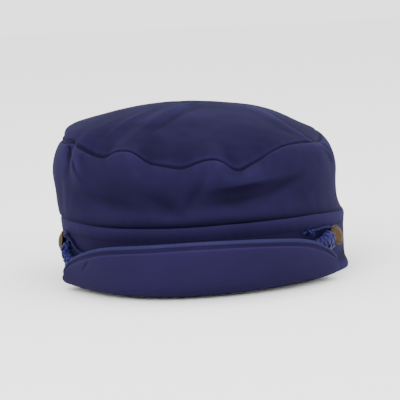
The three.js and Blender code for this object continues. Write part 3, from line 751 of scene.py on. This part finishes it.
def makePeak():
    binding = softCopy("peak_piping", "visor_binding", 2)
    points = pointsOf(binding)
    markRidges(binding, ridgeReach["cloth"])
    layWeave(binding, wayRound(degreesOf(points)) * peakFinish["bindingStretch"], points[:, 2])
    finishPiece(binding, "binding", "peak_binding", "peak_piping")
    peak = softCopy("peak", "visor", 3)
    points = pointsOf(peak)
    degrees = degreesOf(points)
    pucker, groove, welt = peakFinish["pucker"], peakFinish["groove"], peakFinish["welt"]
    side = wayRound(degrees - pucker["at"]) * 1000
    rise = points[:, 2] * 1000 - pucker["up"]
    tree = surfaceTree(binding)
    away = np.array([tree.find_nearest(Vector(p))[3] for p in points]) * 1000
    amount = peakFinish["ripple"] * noiseAt(points, peakFinish["ripplePatch"], 51)
    amount -= pucker["deep"] * foldShape((side + rise) / pucker["long"], (rise - side) / pucker["wide"])
    amount -= groove["deep"] * np.exp(-((away - groove["at"]) / groove["wide"]) ** 2)
    amount += welt["high"] * np.exp(-((away - welt["at"]) / welt["wide"]) ** 2)
    pushOut(peak, amount / 1000, outwardOf(points))
    drawTo(peak, binding, peakFinish["slit"])
    markRidges(peak, ridgeReach["cloth"])
    off = np.linalg.norm(points[:, :2] - np.array([outline(d)[0][:2] for d in degrees]), axis=1)
    layWeave(peak, wayRound(degrees), np.hypot(off, points[:, 2]))
    finishPiece(peak, "peak", "peak_cloth", "peak")


makePeak()
print("peak made")


# The way that a line runs at one of its points.
def aheadAt(line, i):
    return (line[min(i + 1, len(line) - 1)] - line[max(i - 1, 0)]).normalized()


# The way from a line's start to each of its points.
def waysAlong(line):
    return np.r_[0, np.cumsum([(b - a).length for a, b in zip(line, line[1:])])]


# The way out from the band at a point.
def outAt(point):
    return outline(degreesOf(np.array([tuple(point)]))[0])[1]


# A pile of tubes that becomes one mesh, with the weave laid along each tube.
class TubePile:
    def __init__(self):
        self.points, self.faces, self.weave = [], [], []

    def add(self, line, widths, thicks, sides, outs=None):
        base = len(self.points)
        side = None
        length = 0.0
        for i, point in enumerate(line):
            ahead = aheadAt(line, i)
            if outs:
                side = ahead.cross(outs[i]).normalized()
            elif side is None:
                side = ahead.orthogonal().normalized()
            else:
                side = (side - ahead * side.dot(ahead)).normalized()
            up = side.cross(ahead)
            length += (point - line[i - 1]).length if i else 0
            for k in range(sides):
                turn = 2 * math.pi * k / sides
                across = side * (math.cos(turn) * widths[i] / 2)
                rise = up * (math.sin(turn) * thicks[i] / 2)
                self.points.append(point + across + rise)
                self.weave.append((length, widths[i] * turn / 2))
        for i in range(len(line) - 1):
            for k in range(sides):
                a, b = base + i * sides + k, base + i * sides + (k + 1) % sides
                self.faces.append((a, b, b + sides, a + sides))
        self.faces.append(tuple(base + k for k in reversed(range(sides))))
        last = base + (len(line) - 1) * sides
        self.faces.append(tuple(last + k for k in range(sides)))

    def build(self, name):
        mesh = bpy.data.meshes.new(name)
        mesh.from_pydata([tuple(p) for p in self.points], [], self.faces)
        mesh.shade_smooth()
        obj = addObject(name, mesh)
        weave = np.array(self.weave)
        markRidges(obj, ridgeReach["tube"], 2)
        layWeave(obj, weave[:, 0], weave[:, 1])
        return obj


fineSteps = 24  # between two chosen points


# Smooth line through chosen points, evenly divided.
def smoothLine(knots, count):
    places = [0.0]
    for a, b in zip(knots, knots[1:]):
        places.append(places[-1] + math.sqrt((b - a).length))
    fine = []
    for i in range(len(knots) - 1):
        before = knots[i - 1] if i else knots[0] * 2 - knots[1]
        after = knots[i + 2] if i + 2 < len(knots) else knots[-1] * 2 - knots[-2]
        t0 = places[i] - math.sqrt((knots[i] - before).length)
        t1, t2 = places[i], places[i + 1]
        t3 = t2 + math.sqrt((after - knots[i + 1]).length)
        m1 = ((knots[i + 1] - before) / (t2 - t0)) * (t2 - t1)
        m2 = ((after - knots[i]) / (t3 - t1)) * (t2 - t1)
        for k in range(fineSteps):
            t = k / fineSteps
            fine.append(knots[i] * (2 * t ** 3 - 3 * t ** 2 + 1) + m1 * (t ** 3 - 2 * t ** 2 + t)
                        + knots[i + 1] * (3 * t ** 2 - 2 * t ** 3) + m2 * (t ** 3 - t ** 2))
    fine.append(knots[-1])
    lengths = waysAlong(fine)
    wanted = np.linspace(0, lengths[-1], count)
    array = np.array([tuple(p) for p in fine])
    even = np.stack([np.interp(wanted, lengths, array[:, k]) for k in range(3)], 1)
    return [Vector(p) for p in even], lengths[-1]


# Metres, degrees from the front, and the left and right button's height as a share of the band's.
buttonSizes = {
    "width": 0.012,
    "dome": 0.0026,
    "lift": 0.0019,
    "spread": 66,
    "left": 0.67,
    "right": 0.605,
    "sides": 48,
}
cordSizes = {"width": 0.0068, "strandWidth": 0.0022, "knotWidth": 0.0046}
shankWidth = 0.35 * buttonSizes["width"]
tailWidth = buttonSizes["lift"] - 2 * clearance  # of the cord's end, under its button
tailOff = 1.6 * clearance + tailWidth / 2


def buttonUp(side):
    return buttonSizes["left" if side < 0 else "right"] * bandSizes["height"]


def byButton(side, away, turn, off):
    place, out = outline(side * buttonSizes["spread"])
    front = Vector((0, 0, 1)).cross(out) * -side
    point = place + out * off + front * (away * math.cos(math.radians(turn)))
    point.z = buttonUp(side) + away * math.sin(math.radians(turn))
    return point


# The cord's way down from each button: share of the fall, and height as a share of the band's.
cordDrops = {
    -1: [(0.28, 0.5), (0.34, 0.45), (0.56, 0.375), (0.8, 0.305), (1, 0.27)],
    1: [(0.31, 0.57), (0.55, 0.565), (0.8, 0.55), (1, 0.53), (1.3, 0.47), (1.7, 0.37), (2.1, 0.3)],
}
cordTurns = {-1: (-8, -14), 1: (-6, -9)}  # degrees that each end leaves its button at
cordWay = {
    "low": 0.26,  # share of the band's height, where the peak hides the cord
    "fall": 16,  # degrees
    "lead": 1.5,
    "step": 0.2,  # share of the hidden way between two chosen points
    "firstStep": 0.8,
    "bend": 0.92,  # share of the cord's width as it leaves the button
    "bendOut": 0.6,
}


def cordHalf(side):
    rim = buttonSizes["width"] / 2
    bend = cordWay["bend"] * cordSizes["width"]
    leave, bendTurn = cordTurns[side]
    knots = [
        (byButton(side, shankWidth / 2 + clearance + tailWidth, leave, tailOff), tailWidth),
        (byButton(side, rim + 2 * clearance, leave, tailOff), tailWidth),
        (byButton(side, rim + cordWay["bendOut"] * bend, bendTurn, (bend + clearance) / 2), bend),
    ]
    start = buttonSizes["spread"] - cordWay["lead"]
    off = cordSizes["width"] / 2 + clearance
    for share, up in cordDrops[side]:
        degrees = side * (start - share * cordWay["fall"])
        knots.append((offBand(degrees, off, up * bandSizes["height"]), cordSizes["width"]))
    share = 1 - cordWay["firstStep"] * cordWay["step"]
    fallen = start - cordDrops[side][-1][0] * cordWay["fall"]
    while share > 0:
        hidden = offBand(side * fallen * share, off, cordWay["low"] * bandSizes["height"])
        knots.append((hidden, cordSizes["width"]))
        share -= cordWay["step"]
    return knots


# Eight strands plaited round the cord's line, four each way, over one and under one.
# Under its buttons the braid is pressed flat, and beside them it fans out. Metres.
braid = {
    "strands": 4,
    "pitch": 0.016,
    "strandWidth": 0.0025,
    "strandThick": 0.0014,
    "flatWidth": 0.0046,
    "fanWidth": {-1: 0.0078, 1: 0.0118},
    "fanAt": {-1: 0.017, 1: 0.0105},  # along the cord from its end
    "fanReach": {-1: 0.007, 1: 0.0062},
    "steps": 620,
    "sides": 6,
    "core": 0.62,  # share of the cord's width
    "coreStep": 4,
    "coreSides": 8,
    "overUnder": 0.45,  # of a strand's thickness
    "sunk": 0.95,
}


def makeCord():
    knots = cordHalf(-1) + cordHalf(1)[::-1]
    line, length = smoothLine([k[0] for k in knots], braid["steps"])
    places = waysAlong([k[0] for k in knots])
    thicks = np.interp(np.linspace(0, places[-1], braid["steps"]), places, [k[1] for k in knots])
    wides = np.maximum(thicks, braid["flatWidth"])
    along = np.linspace(0, length, braid["steps"])
    for side, fromEnd in ((-1, along), (1, length - along)):
        swell = np.exp(-((fromEnd - braid["fanAt"][side]) / braid["fanReach"][side]) ** 2)
        wides += swell * np.maximum(braid["fanWidth"][side] - wides, 0)
    outs, acrosses = [], []
    for i, point in enumerate(line):
        ahead, out = aheadAt(line, i), outAt(point)
        outs.append((out - ahead * out.dot(ahead)).normalized())
        acrosses.append(ahead.cross(outs[-1]))
    pile = TubePile()
    last = len(line) - 1
    core = list(range(0, last, braid["coreStep"])) + [last]
    pile.add([line[i] for i in core], [wides[i] * braid["core"] for i in core],
             [thicks[i] * braid["core"] for i in core], braid["coreSides"], [outs[i] for i in core])
    strandThicks = braid["strandThick"] * thicks / cordSizes["width"]
    strandWides = braid["strandWidth"] * wides / cordSizes["width"]
    for way in (1, -1):
        for k in range(braid["strands"]):
            strand, facing = [], []
            for i, point in enumerate(line):
                run = i / last * length / braid["pitch"]
                turn = 2 * math.pi * (way * run + k / braid["strands"])
                crossing = math.cos(2 * math.pi * run * braid["strands"])
                over = way * braid["overUnder"] * crossing - braid["sunk"]
                high = math.cos(turn) * (thicks[i] / 2 + over * strandThicks[i])
                wide = math.sin(turn) * (wides[i] / 2 + over * strandThicks[i])
                strand.append(point + outs[i] * high + acrosses[i] * wide)
                facing.append(outs[i] * math.cos(turn) + acrosses[i] * math.sin(turn))
            pile.add(strand, strandWides, strandThicks, braid["sides"], facing)
    cord = pile.build("chin_cord_braid")
    finishPiece(cord, "cord", "cord", "chin_cord")
    print("cord length", round(length, 4))


makeCord()

# The cord's free strands, each twisted from two threads; the right one ends in a frayed knot.
# Degrees forward of the button, and height as a share of the band's.
strandRows = {
    -1: [(4.5, 0.75), (7.5, 0.71), (10, 0.64), (13, 0.585), (16.5, 0.555), (19.5, 0.53)],
    1: [(5, 0.755), (9, 0.76), (13, 0.755), (16, 0.75), (19.2, 0.75)],
}
# Metres and degrees.
strandFinish = {
    "leave": 66,  # how each strand comes off its shank
    "rim": {-1: 44, 1: 50},  # and where it passes the button's rim
    "steps": 150,
    "sides": 6,
    "twist": 0.0042,  # one turn of the two threads
    "knotAt": 17.2,
    "knotUp": 0.75,
    "knotThread": 0.0014,
    "knotWide": 1.25,
    "knotDeep": 0.7,
    "knotSteps": 72,
    "knotSides": 8,
}
frayFinish = {
    "count": 16,
    "length": 0.0042,
    "spread": 0.8,
    "root": 0.0004,  # where the fray starts before the strand's end
    "rise": 0.0006,
    "droop": 0.0006,
    "widths": [0.0003, 0.0003, 0.00026, 0.0002, 0.00012],
    "sides": 5,
}


def makeStrand(side):
    reach = shankWidth / 2 + clearance + tailWidth
    rim = buttonSizes["width"] / 2 + clearance
    knots = [byButton(side, reach, strandFinish["leave"], tailOff),
             byButton(side, rim, strandFinish["rim"][side], tailOff)]
    off = cordSizes["strandWidth"] / 2 + clearance
    for along, up in strandRows[side]:
        knots.append(offBand(side * (buttonSizes["spread"] - along), off, up * bandSizes["height"]))
    line, length = smoothLine(knots, strandFinish["steps"])
    pile = TubePile()
    outs = [outAt(point) for point in line]
    thread = cordSizes["strandWidth"] * 0.5
    for phase in (0, math.pi):
        points = []
        for i, point in enumerate(line):
            angle = 2 * math.pi * i / len(line) * length / strandFinish["twist"] + phase
            across = aheadAt(line, i).cross(outs[i]).normalized()
            points.append(point + (outs[i] * math.cos(angle) + across * math.sin(angle)) * thread * 0.5)
        pile.add(points, [thread] * len(points), [thread] * len(points), strandFinish["sides"])
    if side > 0:
        strandKnot(pile, side)
        finishPiece(frayedTip(line, side), "fray", "cord")
    strand = pile.build("cord_strand_left" if side < 0 else "cord_strand_right")
    finishPiece(strand, "strand", "cord", "cord_tie_left" if side < 0 else "cord_tie_right")


# A small overhand knot, drawn as a clover loop flattened against the band.
def strandKnot(pile, side):
    place, out = outline(side * (buttonSizes["spread"] - strandFinish["knotAt"]))
    across = Vector((0, 0, 1)).cross(out)
    centre = place + out * (cordSizes["knotWidth"] / 2 + clearance)
    centre.z = strandFinish["knotUp"] * bandSizes["height"]
    size = cordSizes["knotWidth"] / 2 - strandFinish["knotThread"] / 2
    points = []
    for i in range(strandFinish["knotSteps"] + 1):
        t = 2 * math.pi * i / strandFinish["knotSteps"]
        x = (math.sin(t) + 2 * math.sin(2 * t)) / 3
        y = (math.cos(t) - 2 * math.cos(2 * t)) / 3
        z = -math.sin(3 * t)
        sideways, rise = across * (x * size * strandFinish["knotWide"]), Vector((0, 0, y * size))
        points.append(centre + sideways + rise + out * (z * size * strandFinish["knotDeep"]))
    widths = [strandFinish["knotThread"]] * len(points)
    pile.add(points, widths, widths, strandFinish["knotSides"])


def frayedTip(line, side):
    pile = TubePile()
    tip = line[-1]
    ahead = (line[-1] - line[-8]).normalized()
    _, out = outline(side * (buttonSizes["spread"] - strandRows[side][-1][0]))
    widths = frayFinish["widths"]
    last = len(widths) - 1
    for _ in range(frayFinish["count"]):
        spread = Vector((random.uniform(-0.5, 0.5), random.uniform(-0.5, 0.5), random.uniform(-0.6, 0.5)))
        heading = (ahead + spread * frayFinish["spread"]).normalized()
        heading -= out * min(0, heading.dot(out))
        reach = frayFinish["length"] * random.uniform(0.5, 1)
        start = tip - ahead * frayFinish["root"] + out * random.uniform(0, frayFinish["rise"])
        points = []
        for t in range(last + 1):
            droop = Vector((0, 0, -frayFinish["droop"] * (t / last) ** 2))
            points.append(start + heading * (reach * t / last) + droop)
        pile.add(points, widths, widths, frayFinish["sides"])
    return pile.build("frayed_tip_right")


for side in (-1, 1):
    makeStrand(side)
print("cords made")


# Domed button with a raised rim: its half outline as pairs of out and up, in shares of its half
# width and its dome.
buttonRows = [
    (0.35, -0.73), (0.35, 0.0), (0.9, 0.0), (0.97, 0.06), (1.0, 0.2), (0.985, 0.36), (0.93, 0.45),
    (0.87, 0.43), (0.83, 0.4), (0.74, 0.56), (0.6, 0.76), (0.42, 0.9), (0.22, 0.98), (0.0, 1.0),
]
# The cord under each button tips it: towards the front, and up at its lower edge, in degrees.
buttonTilt = {-1: {"front": -12, "up": 6}, 1: {"front": 14, "up": 18}}
tipping = {"over": 0.0004, "lift": 0.0008}  # metres of the shank that bends, and how far it gives


def makeButton(side):
    place, out = outline(side * buttonSizes["spread"])
    across = Vector((0, 0, 1)).cross(out)
    base = clearance + buttonSizes["lift"]
    tilt = buttonTilt[side]
    tip = Matrix.Rotation(math.radians(-side * tilt["front"]), 3, "Z")
    tip = tip @ Matrix.Rotation(math.radians(-tilt["up"]), 3, across)
    bm = bmesh.new()
    rings = []
    count = buttonSizes["sides"]
    for wide, up in buttonRows:
        off = base + up * buttonSizes["dome"] if up >= 0 else clearance
        centre = place + out * off
        if wide == 0:
            rings.append([bm.verts.new(centre + Vector((0, 0, buttonUp(side))))])
            continue
        reach = wide * buttonSizes["width"] / 2
        ring = []
        for k in range(count):
            turn = 2 * math.pi * k / count
            rise = Vector((0, 0, buttonUp(side) + reach * math.sin(turn)))
            ring.append(bm.verts.new(centre + across * (reach * math.cos(turn)) + rise))
        rings.append(ring)
    for a, b in zip(rings, rings[1:]):
        for k in range(count):
            n = (k + 1) % count
            bm.faces.new((a[k], a[n], b[0]) if len(b) == 1 else (a[k], a[n], b[n], b[k]))
    bm.faces.new(list(reversed(rings[0])))
    bmesh.ops.recalc_face_normals(bm, faces=bm.faces)
    hub = place + out * base + Vector((0, 0, buttonUp(side)))
    for vert in bm.verts:
        share = min(max((vert.co - hub).dot(out) / tipping["over"] + 1, 0), 1)
        vert.co = vert.co.lerp(hub + tip @ (vert.co - hub) + out * tipping["lift"], share)
    name = "brass_button_left" if side < 0 else "brass_button_right"
    mesh = bpy.data.meshes.new(name)
    bm.to_mesh(mesh)
    bm.free()
    mesh.shade_smooth()
    obj = addObject(name, mesh)
    obj.modifiers.new("rounding", "SUBSURF").levels = 1
    applyModifiers(obj)
    markRidges(obj, ridgeReach["brass"], 4)
    finishPiece(obj, "brass", "button_brass", "button_left" if side < 0 else "button_right")


for side in (-1, 1):
    makeButton(side)
print("buttons made")


# Machine stitches lying on the finished cloth. Lengths in mm, and shapes along one stitch.
stitching = {
    "length": 2.3,
    "gap": 0.9,
    "width": 0.42,
    "sink": 0.08,
    "places": [0, 0.12, 0.35, 0.65, 0.88, 1],
    "heights": [-0.3, -0.05, 0.12, 0.12, -0.05, -0.3],
    "widths": [0.4, 0.9, 1, 1, 0.9, 0.4],
    "sides": 6,
}


def stitchRow(name, line, outs, material, slot):
    pile = TubePile()
    lengths = waysAlong(line) * 1000
    array = np.array([tuple(p) for p in line])
    outArray = np.array([tuple(o) for o in outs])
    step = stitching["length"] + stitching["gap"]
    heights = np.array(stitching["heights"]) - stitching["sink"]
    widths = stitching["width"] / 1000 * np.array(stitching["widths"])
    for k in range(int(lengths[-1] / step)):
        places = k * step + stitching["length"] * np.array(stitching["places"])
        points = np.stack([np.interp(places, lengths, array[:, j]) for j in range(3)], 1)
        out = Vector([np.interp(places[2], lengths, outArray[:, j]) for j in range(3)]).normalized()
        stitch = [Vector(p) + out * (high / 1000) for p, high in zip(points, heights)]
        pile.add(stitch, widths, widths, stitching["sides"], [out] * len(stitch))
    finishPiece(pile.build(name), material, slot)


def bandStitches():
    tree = surfaceTree(headband)
    topAt = ringHeight(pointsOf(headband), np.max)
    line, outs = [], []
    outside = 0.02  # metres
    for degrees in np.arange(-180, 180.5, 0.5).tolist():
        _, out = outline(degrees)
        start = offBand(degrees, outside, float(topAt(np.array([degrees]))[0]) * stitchShare)
        hit, normal, _, _ = tree.ray_cast(start, -out)
        line.append(hit)
        outs.append(normal)
    stitchRow("band_stitches", line, outs, "band", "band_cloth")


bandStitches()
print("stitches made")


# A seamless pale floor under soft studio light. Metres and watts.
studio = {
    "floorHalf": 6,
    "floorDrop": 0.0002,
    "aim": (0, 0, 0.05),
    "white": 2.3,  # strength of the light from all round
    "lamps": [
        {"name": "key", "place": (-0.6, -1.5, 1.1), "size": 1.0, "power": 27},
        {"name": "fill", "place": (1.2, -1.3, 0.7), "size": 1.3, "power": 18},
        {"name": "top", "place": (0.1, 0.3, 1.6), "size": 1.4, "power": 8},
    ],
}


def makeFloor():
    mesh = bpy.data.meshes.new("floor")
    half = studio["floorHalf"]
    corners = [(-half, -half, 0), (half, -half, 0), (half, half, 0), (-half, half, 0)]
    mesh.from_pydata(corners, [], [(0, 1, 2, 3)])
    floor = addObject("floor", mesh)
    floor.location.z = -studio["floorDrop"]
    material, tree = newMaterial("white paper floor")
    addSurface(tree, {"Base Color": colour("#fafafa"), "Roughness": 0.8, "Specular IOR Level": 0.2}, {})
    mesh.materials.append(material)


def makeLights():
    for lamp in studio["lamps"]:
        data = bpy.data.lights.new(lamp["name"], "AREA")
        data.size = lamp["size"]
        data.energy = lamp["power"]
        light = addObject(lamp["name"], data)
        light.location = lamp["place"]
        aim = Vector(studio["aim"]) - Vector(lamp["place"])
        light.rotation_mode = "QUATERNION"
        light.rotation_quaternion = aim.to_track_quat("-Z", "Y")
    world = bpy.data.worlds.new("studio")
    world.use_nodes = True
    background = world.node_tree.nodes["Background"]
    background.inputs["Color"].default_value = colour("#ffffff")
    background.inputs["Strength"].default_value = studio["white"]
    scene.world = world


makeFloor()
makeLights()
print("studio made")
